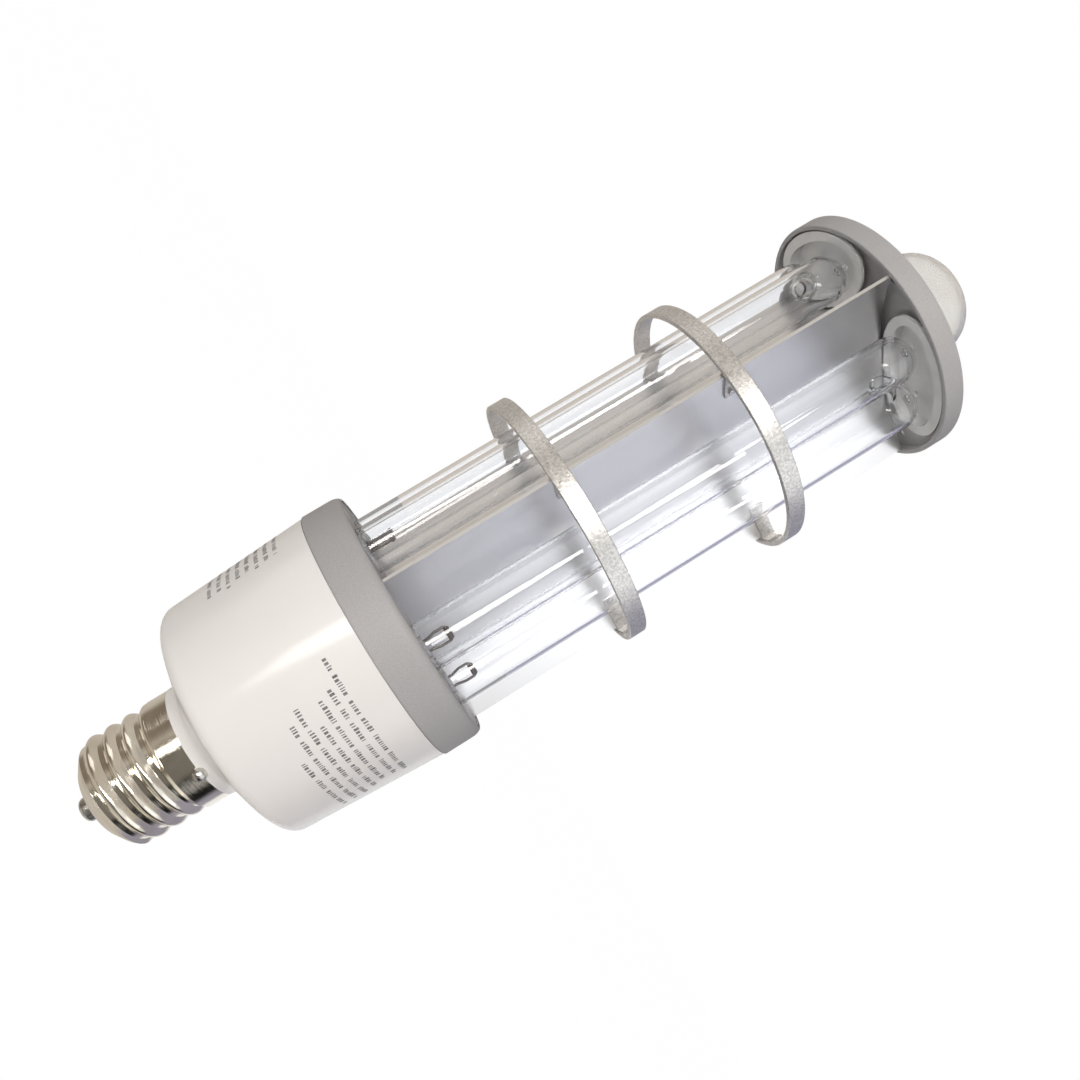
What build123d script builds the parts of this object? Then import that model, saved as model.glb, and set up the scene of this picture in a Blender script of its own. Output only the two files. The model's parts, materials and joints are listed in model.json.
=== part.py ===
"""Ultraviolet corn lamp: three clear quartz twin-tube lamps round a three-cornered reflector,
on a white ballast housing with a large screw base, with a sensor dome at the far end.

Millimetres. +Z runs from the base's contact tip, which is the origin, to the sensor dome.
One corner of the reflector points along -Y, and the middle of one lamp bay along +Y."""
from build123d import *
from math import asin, cos, degrees, radians, sin
import os

os.makedirs("parts", exist_ok=True)

# Clearances
slip_gap = 0.15
loose_gap = 0.3
cut_margin = 1.0

# Screw base
contact_tip_radius = 2.4
contact_radius = 4.2
contact_dome_height = 1.9
contact_height = 4.9
contact_stem_radius = 1.6
insulator_wall = 4.0
insulator_plug_length = 9.0
insulator_bore_radius = 6.4
shell_bottom_z = 5.4
shell_rim_z = 42.7
shell_wall = 0.55
shell_bend_offset = 0.2
shell_lip_radius = 6.6
shell_bottom_radius = 13.6
shell_bottom_rise = 2.2
shell_corner_height = 3.4
thread_fade_height = 2.3
thread_crest_radius = 19.6
thread_root_radius = 17.95
thread_pitch = 6.35
thread_start_z = 4.7
thread_turns = 5.2
thread_ridge_width = 5.6
thread_flank_reach = 1.85
thread_flank_height = 0.57
thread_trim_gap = 0.1
skirt_radius = 19.75
skirt_height = 7.8
flare_height = 2.0
solder_radius = 2.4
solder_drop = 0.4
solder_azimuth = 42.0

# Ballast housing
housing_neck_radius = 19.9
housing_neck_length = 3.7
housing_base_radius = 41.7
housing_base_z = 53.6
housing_top_radius = 45.3
housing_top_z = 107.7
housing_wall = 2.2
housing_plug_length = 15.0
plug_step_height = 1.4
shoulder_fillet = 5.0
neck_fillet = 2.4

# Collar and lamp deck
collar_overhang = 0.4
collar_top_z = 121.7
collar_wall = 1.8
collar_edge_radius = 0.85
collar_web_height = 2.0
seam_height = 0.4
seam_depth = 0.8
spigot_length = 4.6
spigot_wall = 1.5
ledge_width = 1.8
ledge_height = 1.6
deck_recess = 0.6
deck_thickness = 3.0
deck_boss_radius = 2.9
deck_boss_length = 8.0

# Lamps, in each bay's own frame: across the bay, and outwards from the axis
bay_count = 3
tube_radius = 8.2
tube_wall = 1.1
tube_spread = 9.9
tube_distance = 26.7
tube_crown_z = 304.7
tube_end_height = 7.0
tube_nib_radius = 1.6
tube_nib_tip_radius = 0.96
tube_nib_height = 2.4
tube_nib_drop = 0.3
bridge_radius = 4.2
bridge_drop = 11.0
lamp_base_height = 15.0
lamp_base_wall = 1.0
lamp_seat_depth = 7.0
lamp_pin_radius = 1.15
lamp_pin_length = 7.0
lamp_pin_depth = 2.0
lamp_pin_spacing = 8.0
press_width = 9.6
press_thickness = 3.0
press_edge_radius = 1.4
press_flare_height = 1.6
press_top_z = 121.9
electrode_top_z = 129.7
lead_wire_radius = 0.45
lead_wire_spacing = 7.0
lead_bend_radius = 1.0
lead_splay = 0.9
lead_splay_start = 1.4
lead_splay_end = 4.0
filament_radius = 0.95
filament_length = 4.6

# Reflector
reflector_face_distance = 14.2
reflector_sheet = 0.5
reflector_top_z = 303.7

# Guard rings and the clips that hold them to the reflector's corners
ring_radius = 46.0
ring_thickness = 1.5
ring_height = 6.3
ring_edge_chamfer = 0.25
lower_ring_z = 178.9
upper_ring_z = 240.6
clip_thickness = 0.8
clip_height = 5.0
clip_leg_length = 11.0
clip_pad_half_angle = 9.0
clip_corner_gap = 0.6
rivet_setback = 8.6
rivet_radius = 0.8
rivet_head_radius = 1.5
rivet_head_height = 0.7
rivet_head_taper = 25
rivet_seat_gap = 0.02
rivet_hole_gap = 0.05

# End disc, its cups and its cover
disc_wall = 1.6
disc_edge_radius = 0.5
disc_lip_z = 303.2
disc_floor_z = 306.7
disc_floor_thickness = 1.2
disc_back_z = 310.4
cup_half_length = 24.5
cup_half_width = 14.0
cup_distance = 28.7
cup_rim_z = 303.6
cup_rim_thickness = 1.0
cup_rim_width = 3.6
cup_wall = 1.0
cup_flange_thickness = 1.0
cover_thickness = 1.5

# Tie tube and sensor
tie_tube_radius = 5.0
tie_tube_wall = 1.0
tie_tube_overhang = 0.5
tie_tube_bottom_z = 110.7
nut_across_flats = 16.0
nut_height = 4.5
nut_thread_gap = 0.02
dome_radius = 19.8
dome_shoulder_radius = 19.2
dome_shoulder_z = 334.7
dome_waist_normal = (0.8, 0.6)
dome_waist_radius = 14.4
dome_waist_z = 346.6
dome_crown_radius = 7.0
dome_crown_z = 350.7
dome_top_z = 351.1
dome_wall = 1.5
sensor_board_radius = 16.0
sensor_board_z = 317.1
board_thickness = 1.6
standoff_radius = 1.8
standoff_circle_radius = 13.0
sensor_eye_radius = 4.6
sensor_eye_height = 4.5
sensor_eye_flange = 0.8
sensor_eye_edge_radius = 0.6
receiver_size = (6.0, 5.0, 7.0)
receiver_offset = 10.0
receiver_edge_radius = 1.2
sensor_lead_radius = 1.8
sensor_lead_tail = 6.0

# Ballast, on a round board that stands on posts in the housing
ballast_board_radius = 37.5
ballast_board_z = 64.7
board_post_radius = 2.8
board_post_circle_radius = 32.0
board_hole_radius = 1.6
choke_size = (17.0, 15.0, 15.0)
choke_winding_radius = 7.5
choke_winding_height = 7.0
capacitor_radius = 8.0
capacitor_height = 25.0
component_edge = 0.8
film_size = (12.0, 6.0, 11.0)
transistor_size = (10.0, 4.5, 15.0)
filter_radius = 5.4
filter_hole_radius = 2.0
filter_height = 8.0
fuse_radius = 2.6
choke_places = ((-13, 4), (-13, -15))
capacitor_places = ((16, 12), (20, -8))
film_places = ((2, 26), (2, 18), (2, -29))
transistor_places = ((-16, 20), (5, -20), (19, -22), (6, -12))
filter_place = (2, 3)
fuse_place = (-30, 0)
connector_places = ((14, 27), (-28, 14), (-27, -16))
fuse_length = 14.0
fuse_clip_width = 2.0
fuse_clip_rise = 0.6
connector_size = (10.0, 6.0, 9.0)
wire_radius = 1.0
wire_bend_radius = 2.5
wire_end_gap = 0.1
shell_lead_offset = 11.0
shell_lead_drop = 3.0

# Screws
screw_radius = 1.25
screw_head_radius = 2.6
screw_head_height = 1.5
screw_head_taper = 15
board_screw_length = 8.0
deck_screw_length = 9.0
deck_screw_inset = 6.1
cover_screw_inset = 7.0
cover_screw_bite = 1.0

# Derived sizes and places
collar_radius = housing_top_radius + collar_overhang
deck_screw_circle_radius = collar_radius - deck_screw_inset
reflector_corner_radius = ring_radius - ring_thickness - clip_thickness - clip_corner_gap
disc_radius = reflector_corner_radius + loose_gap + disc_wall
cover_screw_circle_radius = disc_radius - cover_screw_inset
cover_screw_length = cover_thickness + cup_flange_thickness + cover_screw_bite
skirt_z = shell_rim_z - skirt_height
shell_corner_z = shell_bottom_z + shell_bottom_rise + shell_corner_height
insulator_top_z = shell_bottom_z + insulator_plug_length
neck_top_z = shell_rim_z + housing_neck_length
deck_top_z = collar_top_z - deck_recess
deck_bottom_z = deck_top_z - deck_thickness
lamp_foot_z = deck_bottom_z - lamp_seat_depth
spigot_radius = housing_top_radius - housing_wall - slip_gap
deck_radius = collar_radius - collar_wall - slip_gap
ring_bore_radius = ring_radius - ring_thickness
disc_floor_back_z = disc_floor_z + disc_floor_thickness
cup_back_z = disc_floor_back_z + cup_flange_thickness
shell_bore_radius = thread_root_radius - shell_wall
bay_half_angle = 180 / bay_count
corner_across = reflector_corner_radius * sin(radians(bay_half_angle))
corner_out = reflector_corner_radius * cos(radians(bay_half_angle))
face_end_across = corner_across - reflector_sheet * cos(radians(bay_half_angle))
face_end_out = corner_out + reflector_sheet * sin(radians(bay_half_angle))
face_sagitta = face_end_out - reflector_face_distance
face_radius = (face_end_across**2 + face_sagitta**2) / (2 * face_sagitta)
face_centre_out = reflector_face_distance + face_radius
face_end_angle = degrees(asin(face_end_across / face_radius))


def bay_plane(index):
    """Plane at z = 0 whose own +Y points through a bay's middle, and whose -Y points through a corner."""
    return Plane.XY.rotated((0, 0, index * 360 / bay_count))


def upright(base, across=0.0, out=0.0):
    """Upright plane through a point of a base plane: its own x runs across and its y up."""
    origin = base.from_local_coords(Vector(across, out, 0))
    return Plane(origin=origin, x_dir=base.x_dir, z_dir=-base.y_dir)


def face_normal_plane(base, side, setback, z):
    """Plane on a reflector face near its corner, looking out of the face.

    side is -1 or 1 for the bay's two ends, and setback is the distance along the face from its end."""
    angle = radians(face_end_angle) - setback / face_radius
    across = side * face_radius * sin(angle)
    out = face_centre_out - face_radius * cos(angle)
    origin = base.from_local_coords(Vector(across, out, z))
    target = base.from_local_coords(Vector(0, face_centre_out, z))
    return Plane(origin=origin, x_dir=(0, 0, 1), z_dir=target - origin)


def save(part, name):
    """Label a finished piece and write it."""
    part.label = name
    export_step(part, f"parts/{name}.step")


def shell_floor_z(radius):
    """Height of the sloping floor inside the screw shell at a radius."""
    slope = shell_bottom_rise / (shell_bottom_radius - shell_bend_offset - shell_lip_radius)
    return shell_bottom_z + shell_wall + (radius - shell_lip_radius) * slope


def make_screw_shell():
    """Pressed screw shell: sloping bottom, knuckle thread and a plain skirt that the thread runs into."""
    trim_radius = skirt_radius + thread_trim_gap
    bend = shell_bend_offset
    with BuildPart() as screw_shell:
        with BuildSketch(Plane.XY):
            Circle(thread_root_radius)
        extrude(amount=shell_rim_z)
        add(make_thread_ridge())
        with BuildSketch(Plane.XZ):
            with BuildLine():
                Polyline(
                    (0, shell_bottom_z),
                    (shell_lip_radius, shell_bottom_z),
                    (shell_bottom_radius, shell_bottom_z + shell_bottom_rise),
                    (thread_root_radius, shell_corner_z),
                    (trim_radius, shell_corner_z + thread_fade_height),
                    (trim_radius, shell_rim_z),
                    (0, shell_rim_z),
                    close=True,
                )
            make_face()
        revolve(axis=Axis.Z, mode=Mode.INTERSECT)
        with BuildSketch(Plane.XZ):
            with BuildLine():
                Polyline(
                    (0, skirt_z - flare_height),
                    (thread_root_radius, skirt_z - flare_height),
                    (skirt_radius, skirt_z),
                    (skirt_radius, shell_rim_z),
                    (0, shell_rim_z),
                    close=True,
                )
            make_face()
        revolve(axis=Axis.Z)
        with BuildSketch(Plane.XZ):
            with BuildLine():
                Polyline(
                    (0, shell_bottom_z - cut_margin),
                    (shell_lip_radius, shell_bottom_z - cut_margin),
                    (shell_lip_radius, shell_bottom_z + shell_wall),
                    (shell_bottom_radius - bend, shell_bottom_z + shell_bottom_rise + shell_wall),
                    (shell_bore_radius, shell_corner_z + bend),
                    (shell_bore_radius, skirt_z - flare_height + bend),
                    (skirt_radius - shell_wall, skirt_z + bend),
                    (skirt_radius - shell_wall, shell_rim_z + cut_margin),
                    (0, shell_rim_z + cut_margin),
                    close=True,
                )
            make_face()
        revolve(axis=Axis.Z, mode=Mode.SUBTRACT)
    return screw_shell.part


def make_thread_ridge():
    """The rounded ridge of the right-hand thread, wound up the shell and into its skirt."""
    half_width = thread_ridge_width / 2
    crest = thread_crest_radius - thread_root_radius
    root = -shell_wall / 2
    length = thread_pitch * thread_turns
    with BuildPart() as ridge:
        with BuildLine() as path:
            helix = Helix(thread_pitch, length, thread_root_radius, center=(0, 0, thread_start_z))
        with BuildSketch(Plane(origin=helix @ 0, x_dir=(1, 0, 0), z_dir=helix % 0)):
            with BuildLine():
                Spline(
                    (root, -half_width),
                    (thread_flank_height, -thread_flank_reach),
                    (crest, 0),
                    (thread_flank_height, thread_flank_reach),
                    (root, half_width),
                )
                Line((root, half_width), (root, -half_width))
            make_face()
        sweep(path=path.line, is_frenet=True)
    return ridge.part


def make_shell_solder():
    """Solder dot that joins the lead to the shell's rim, lying on the skirt and the housing's neck."""
    turn = radians(solder_azimuth - 90)
    with BuildPart() as shell_solder:
        with Locations((skirt_radius * cos(turn), skirt_radius * sin(turn), shell_rim_z - solder_drop)):
            Sphere(solder_radius)
        with BuildSketch(Plane.XY.offset(shell_rim_z)):
            Circle(skirt_radius)
        extrude(amount=-2 * solder_radius, mode=Mode.SUBTRACT)
        with BuildSketch(Plane.XY.offset(shell_rim_z)):
            Circle(housing_neck_radius)
        extrude(amount=2 * solder_radius, mode=Mode.SUBTRACT)
    return shell_solder.part


def make_center_contact():
    """Domed contact button with a rivet stem that runs up through the insulator."""
    dome_rise = contact_dome_height * (1 - cos(radians(45)))
    dome_reach = contact_tip_radius + (contact_radius - contact_tip_radius) * sin(radians(45))
    with BuildPart() as center_contact:
        with BuildSketch(Plane.XZ):
            with BuildLine():
                Line((0, 0), (contact_tip_radius, 0))
                ThreePointArc(
                    (contact_tip_radius, 0),
                    (dome_reach, dome_rise),
                    (contact_radius, contact_dome_height),
                )
                Polyline(
                    (contact_radius, contact_dome_height),
                    (contact_radius, contact_height),
                    (contact_stem_radius, contact_height),
                    (contact_stem_radius, insulator_top_z),
                    (0, insulator_top_z),
                    (0, 0),
                )
            make_face()
        revolve(axis=Axis.Z)
    return center_contact.part


def make_base_insulator():
    """Insulator in the shell's mouth, with a cupped plug that lies on the floor inside the shell."""
    lip_radius = shell_lip_radius - slip_gap
    floor_radius = shell_bottom_radius - shell_bend_offset - slip_gap
    plug_radius = shell_bore_radius - slip_gap
    plug_corner_z = shell_corner_z + 2 * shell_bend_offset
    with BuildPart() as base_insulator:
        with BuildSketch(Plane.XZ):
            with BuildLine():
                Polyline(
                    (contact_stem_radius + slip_gap, contact_height),
                    (lip_radius, contact_height),
                    (lip_radius, shell_floor_z(lip_radius)),
                    (floor_radius, shell_floor_z(floor_radius)),
                    (plug_radius, plug_corner_z),
                    (plug_radius, insulator_top_z),
                    (insulator_bore_radius, insulator_top_z),
                    (insulator_bore_radius, shell_bottom_z + insulator_wall),
                    (contact_stem_radius + slip_gap, shell_bottom_z + insulator_wall),
                    close=True,
                )
            make_face()
        revolve(axis=Axis.Z)
    return base_insulator.part


def make_ballast_housing():
    """White moulded housing: plug, neck, sloping shoulder and a slightly flared barrel."""
    plug_radius = shell_bore_radius - loose_gap
    plug_z = shell_rim_z - housing_plug_length
    skirt_plug_radius = skirt_radius - shell_wall - slip_gap
    skirt_plug_z = skirt_z + 2 * shell_bend_offset
    wall = housing_wall
    mouth_radius = spigot_radius + slip_gap
    mouth_z = housing_top_z - spigot_length - loose_gap
    slope = (housing_top_radius - housing_base_radius) / (housing_top_z - housing_base_z)
    inner_mouth_radius = housing_base_radius - wall + slope * (mouth_z - housing_base_z)
    with BuildPart() as ballast_housing:
        with BuildSketch(Plane.XZ) as outer:
            with BuildLine():
                Polyline(
                    (0, plug_z),
                    (plug_radius, plug_z),
                    (plug_radius, skirt_plug_z - plug_step_height),
                    (skirt_plug_radius, skirt_plug_z),
                    (skirt_plug_radius, shell_rim_z),
                    (housing_neck_radius, shell_rim_z),
                    (housing_neck_radius, neck_top_z),
                    (housing_base_radius, housing_base_z),
                    (housing_top_radius, housing_top_z),
                    (0, housing_top_z),
                    close=True,
                )
            make_face()
            shoulder = [v for v in outer.vertices() if abs(v.Z - housing_base_z) < 0.01]
            fillet(shoulder, shoulder_fillet)
            neck = [v for v in outer.vertices() if abs(v.Z - neck_top_z) < 0.01]
            fillet(neck, neck_fillet)
        revolve(axis=Axis.Z)
        with BuildSketch(Plane.XZ) as inner:
            with BuildLine():
                Polyline(
                    (0, plug_z - cut_margin),
                    (plug_radius - wall, plug_z - cut_margin),
                    (plug_radius - wall, neck_top_z + wall),
                    (housing_base_radius - wall, housing_base_z + wall),
                    (inner_mouth_radius, mouth_z),
                    (mouth_radius, mouth_z),
                    (mouth_radius, housing_top_z + cut_margin),
                    (0, housing_top_z + cut_margin),
                    close=True,
                )
            make_face()
            shoulder = [v for v in inner.vertices() if abs(v.Z - housing_base_z - wall) < 0.01]
            fillet(shoulder, shoulder_fillet - wall)
        revolve(axis=Axis.Z, mode=Mode.SUBTRACT)
        with BuildSketch(Plane.XY.offset(ballast_board_z)):
            with PolarLocations(board_post_circle_radius, bay_count):
                Circle(board_post_radius)
        extrude(until=Until.NEXT, dir=(0, 0, -1))
        with BuildSketch(Plane.XY.offset(ballast_board_z)):
            with PolarLocations(board_post_circle_radius, bay_count):
                Circle(screw_radius)
        extrude(amount=-board_screw_length, mode=Mode.SUBTRACT)
    return ballast_housing.part


def make_collar_ring():
    """Silver collar: spigot into the housing, seam groove, ledge for the deck and screw bosses."""
    web_z = housing_top_z
    inner_radius = collar_radius - collar_wall
    ledge_z = deck_bottom_z - ledge_height
    with BuildPart() as collar_ring:
        with BuildSketch(Plane.XZ) as section:
            with BuildLine():
                Polyline(
                    (spigot_radius - spigot_wall, web_z - spigot_length),
                    (spigot_radius, web_z - spigot_length),
                    (spigot_radius, web_z),
                    (collar_radius - seam_depth, web_z),
                    (collar_radius - seam_depth, web_z + seam_height),
                    (collar_radius, web_z + seam_height),
                    (collar_radius, collar_top_z),
                    (inner_radius, collar_top_z),
                    (inner_radius, deck_bottom_z),
                    (inner_radius - ledge_width, deck_bottom_z),
                    (inner_radius - ledge_width, ledge_z),
                    (inner_radius, ledge_z - ledge_width),
                    (inner_radius, web_z + collar_web_height),
                    (spigot_radius - spigot_wall, web_z + collar_web_height),
                    close=True,
                )
            make_face()
            outer_edge = [v for v in section.vertices() if abs(v.Z - collar_top_z) < 0.01]
            fillet(outer_edge, collar_edge_radius)
        revolve(axis=Axis.Z)
        with BuildSketch(Plane.XY.offset(deck_bottom_z)):
            with PolarLocations(deck_screw_circle_radius, bay_count, start_angle=90):
                Circle(deck_boss_radius)
            with PolarLocations(deck_screw_circle_radius + deck_boss_radius, bay_count, start_angle=90):
                Rectangle(2 * deck_boss_radius, 2 * deck_boss_radius)
            Circle(inner_radius + slip_gap, mode=Mode.INTERSECT)
        extrude(amount=-deck_boss_length)
        with BuildSketch(Plane.XY.offset(deck_bottom_z)):
            with PolarLocations(deck_screw_circle_radius, bay_count, start_angle=90):
                Circle(screw_radius)
        extrude(amount=-deck_screw_length + deck_thickness, mode=Mode.SUBTRACT)
    return collar_ring.part


def make_lamp_deck():
    """Round plate with a hole for each tube foot, the tie tube and the deck screws."""
    with BuildPart() as lamp_deck:
        with BuildSketch(Plane.XY.offset(deck_bottom_z)):
            Circle(deck_radius)
            Circle(tie_tube_radius + slip_gap, mode=Mode.SUBTRACT)
        extrude(amount=deck_thickness)
        for index in range(bay_count):
            with BuildSketch(bay_plane(index).offset(deck_bottom_z)):
                with Locations((-tube_spread, tube_distance), (tube_spread, tube_distance)):
                    Circle(tube_radius + loose_gap)
            extrude(amount=deck_thickness, mode=Mode.SUBTRACT)
            with Locations(bay_plane(index).offset(deck_top_z)):
                with Locations((0, deck_screw_circle_radius)):
                    CounterSinkHole(screw_radius + slip_gap, screw_head_radius + slip_gap, deck_thickness)
    return lamp_deck.part


def make_lamp_base(index):
    """Base under the deck with two sockets for a lamp's feet and four pins' holes."""
    bay = bay_plane(index)
    width = 2 * (tube_radius + slip_gap + lamp_base_wall)
    with BuildPart() as lamp_base:
        with BuildSketch(bay.offset(deck_bottom_z)):
            with Locations((0, tube_distance)):
                SlotCenterToCenter(2 * tube_spread, width)
        extrude(amount=-lamp_base_height)
        with BuildSketch(bay.offset(deck_bottom_z)):
            with Locations((-tube_spread, tube_distance), (tube_spread, tube_distance)):
                Circle(tube_radius + slip_gap)
        extrude(amount=-lamp_seat_depth, mode=Mode.SUBTRACT)
        with BuildSketch(bay.offset(deck_bottom_z - lamp_base_height)):
            with Locations((0, tube_distance)):
                with GridLocations(lamp_pin_spacing, 0, 4, 1):
                    Circle(lamp_pin_radius)
        extrude(amount=lamp_pin_depth, mode=Mode.SUBTRACT)
    return lamp_base.part


def make_lamp_pins():
    """Contact pins under the three lamp bases."""
    with BuildPart() as lamp_pins:
        for index in range(bay_count):
            with BuildSketch(bay_plane(index).offset(deck_bottom_z - lamp_base_height + lamp_pin_depth)):
                with Locations((0, tube_distance)):
                    with GridLocations(lamp_pin_spacing, 0, 4, 1):
                        Circle(lamp_pin_radius)
            extrude(amount=-lamp_pin_length)
    return lamp_pins.part


def make_uv_lamp(index):
    """Clear twin tube: two legs open at the foot, rounded ends with nibs, and a bridge between."""
    bay = bay_plane(index)
    shoulder_z = tube_crown_z - tube_end_height
    bridge_z = tube_crown_z - bridge_drop
    bore_radius = tube_radius - tube_wall
    arc_radius = tube_radius * cos(radians(45))
    arc_rise = tube_end_height * sin(radians(45))
    bore_foot_z = lamp_foot_z - cut_margin
    bore_arc_radius = bore_radius * cos(radians(45))
    bore_rise = (tube_end_height - tube_wall) * sin(radians(45))
    nib_z = tube_crown_z - tube_nib_drop
    bore_tip_z = tube_crown_z - tube_wall
    bridge_start = bay.from_local_coords(Vector(-tube_spread, tube_distance, bridge_z))
    with BuildPart() as uv_lamp:
        for side in (-1, 1):
            leg = upright(bay, side * tube_spread, tube_distance)
            with BuildSketch(leg):
                with BuildLine():
                    Polyline((0, lamp_foot_z), (tube_radius, lamp_foot_z), (tube_radius, shoulder_z))
                    ThreePointArc(
                        (tube_radius, shoulder_z),
                        (arc_radius, shoulder_z + arc_rise),
                        (tube_nib_radius, nib_z),
                    )
                    Polyline(
                        (tube_nib_radius, nib_z),
                        (tube_nib_tip_radius, tube_crown_z + tube_nib_height),
                        (0, tube_crown_z + tube_nib_height),
                        (0, lamp_foot_z),
                    )
                make_face()
            revolve(axis=Axis(leg.origin, (0, 0, 1)))
        with BuildSketch(Plane(bridge_start, z_dir=bay.x_dir)):
            Circle(bridge_radius)
        extrude(amount=2 * tube_spread)
        for side in (-1, 1):
            leg = upright(bay, side * tube_spread, tube_distance)
            with BuildSketch(leg):
                with BuildLine():
                    Polyline((0, bore_foot_z), (bore_radius, bore_foot_z), (bore_radius, shoulder_z))
                    ThreePointArc(
                        (bore_radius, shoulder_z),
                        (bore_arc_radius, shoulder_z + bore_rise),
                        (tube_nib_tip_radius, bore_tip_z),
                    )
                    Polyline((tube_nib_tip_radius, bore_tip_z), (0, bore_tip_z), (0, bore_foot_z))
                make_face()
            revolve(axis=Axis(leg.origin, (0, 0, 1)), mode=Mode.SUBTRACT)
        with BuildSketch(Plane(bridge_start, z_dir=bay.x_dir)):
            Circle(bridge_radius - tube_wall)
        extrude(amount=2 * tube_spread, mode=Mode.SUBTRACT)
    return uv_lamp.part


def make_stem_press(index):
    """Pressed glass stems in a lamp's two feet: a flared disc and a flat press above it."""
    bay = bay_plane(index)
    bore_radius = tube_radius - tube_wall - slip_gap
    flare_top_z = lamp_foot_z + press_flare_height
    with BuildPart() as stem_press:
        with BuildSketch(bay.offset(lamp_foot_z)):
            with Locations((-tube_spread, tube_distance), (tube_spread, tube_distance)):
                Circle(bore_radius)
        extrude(amount=press_flare_height)
        with BuildSketch(bay.offset(flare_top_z)):
            with Locations((-tube_spread, tube_distance), (tube_spread, tube_distance)):
                RectangleRounded(press_width, press_thickness, press_edge_radius)
        extrude(amount=press_top_z - flare_top_z)
    return stem_press.part


def make_electrodes(index):
    """Wire electrodes at a lamp's two feet: two lead wires with a wound filament between."""
    bay = bay_plane(index)
    half = lead_wire_spacing / 2
    foot = half - lead_splay
    low_z = press_top_z + lead_splay_start
    high_z = press_top_z + lead_splay_end
    with BuildPart() as electrodes:
        for side in (-1, 1):
            leg = upright(bay, side * tube_spread, tube_distance)
            start = leg.from_local_coords(Vector(-foot, press_top_z, 0))
            with BuildLine(leg) as path:
                FilletPolyline(
                    (-foot, press_top_z),
                    (-foot, low_z),
                    (-half, high_z),
                    (-half, electrode_top_z),
                    (half, electrode_top_z),
                    (half, high_z),
                    (foot, low_z),
                    (foot, press_top_z),
                    radius=lead_bend_radius,
                )
            with BuildSketch(Plane(origin=start, x_dir=bay.x_dir, z_dir=(0, 0, 1))):
                Circle(lead_wire_radius)
            sweep(path=path.line)
            filament_start = leg.from_local_coords(Vector(-filament_length / 2, electrode_top_z, 0))
            with BuildSketch(Plane(origin=filament_start, z_dir=bay.x_dir)):
                Circle(filament_radius)
            extrude(amount=filament_length)
    return electrodes.part


def make_reflector_panel(index):
    """Hollowed sheet-metal face of the reflector core, pierced for the clips' rivets."""
    bay = bay_plane(index)
    with BuildPart() as panel:
        with BuildSketch(bay.offset(deck_top_z)):
            with BuildLine():
                ThreePointArc(
                    (-face_end_across, face_end_out),
                    (0, reflector_face_distance),
                    (face_end_across, face_end_out),
                )
                Line((face_end_across, face_end_out), (corner_across, corner_out))
                ThreePointArc(
                    (corner_across, corner_out),
                    (0, reflector_face_distance - reflector_sheet),
                    (-corner_across, corner_out),
                )
                Line((-corner_across, corner_out), (-face_end_across, face_end_out))
            make_face()
        extrude(amount=reflector_top_z - deck_top_z)
        for ring_z in (lower_ring_z, upper_ring_z):
            for side in (-1, 1):
                plane = face_normal_plane(bay, side, rivet_setback, ring_z + ring_height / 2)
                with BuildSketch(plane.offset(-2 * reflector_sheet)):
                    Circle(rivet_radius + rivet_hole_gap)
                extrude(amount=4 * reflector_sheet, mode=Mode.SUBTRACT)
    return panel.part


def make_guard_ring(ring_z):
    """Flat hoop round the lamps with softened edges."""
    with BuildPart() as guard_ring:
        with BuildSketch(Plane.XY.offset(ring_z)):
            Circle(ring_radius)
            Circle(ring_bore_radius, mode=Mode.SUBTRACT)
        extrude(amount=ring_height)
        chamfer(guard_ring.edges().filter_by(GeomType.CIRCLE).sort_by(SortBy.RADIUS)[-2:], ring_edge_chamfer)
    return guard_ring.part


def make_ring_clip(corner, ring_z):
    """Clip behind a ring: a curved pad on the ring's bore and two legs along the corner's faces."""
    centre_z = ring_z + ring_height / 2
    low_z = centre_z - clip_height / 2
    leg_angle = degrees(clip_leg_length / face_radius)
    pad_radius = ring_bore_radius - clip_thickness
    pad_reach = pad_radius + clip_thickness / 2 - reflector_corner_radius
    with BuildPart() as clip:
        with BuildSketch(bay_plane(corner).offset(low_z)):
            with BuildLine():
                CenterArc((0, 0), ring_bore_radius, -90 - clip_pad_half_angle, 2 * clip_pad_half_angle)
                CenterArc((0, 0), pad_radius, -90 - clip_pad_half_angle, 2 * clip_pad_half_angle)
                for side in (-1, 1):
                    angle = radians(-90 + side * clip_pad_half_angle)
                    Line(
                        (ring_bore_radius * cos(angle), ring_bore_radius * sin(angle)),
                        (pad_radius * cos(angle), pad_radius * sin(angle)),
                    )
            make_face()
        extrude(amount=clip_height)
        for bay_index, side in ((corner + 1, -1), (corner + 2, 1)):
            bay = bay_plane(bay_index)
            centre = (0, face_centre_out)
            inner = face_radius - clip_thickness
            near = face_end_angle + degrees(pad_reach / face_radius)
            far = face_end_angle - leg_angle
            with BuildSketch(bay.offset(low_z)):
                with BuildLine():
                    for radius in (face_radius, inner):
                        CenterArc(centre, radius, -90 + side * near, side * (far - near))
                    for angle in (near, far):
                        turn = radians(-90 + side * angle)
                        Line(
                            (face_radius * cos(turn), face_centre_out + face_radius * sin(turn)),
                            (inner * cos(turn), face_centre_out + inner * sin(turn)),
                        )
                make_face()
            extrude(amount=clip_height)
            plane = face_normal_plane(bay, side, rivet_setback, centre_z)
            with BuildSketch(plane.offset(-reflector_sheet)):
                Circle(rivet_radius + rivet_hole_gap)
            extrude(amount=2 * clip_thickness, mode=Mode.SUBTRACT)
    return clip.part


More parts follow.
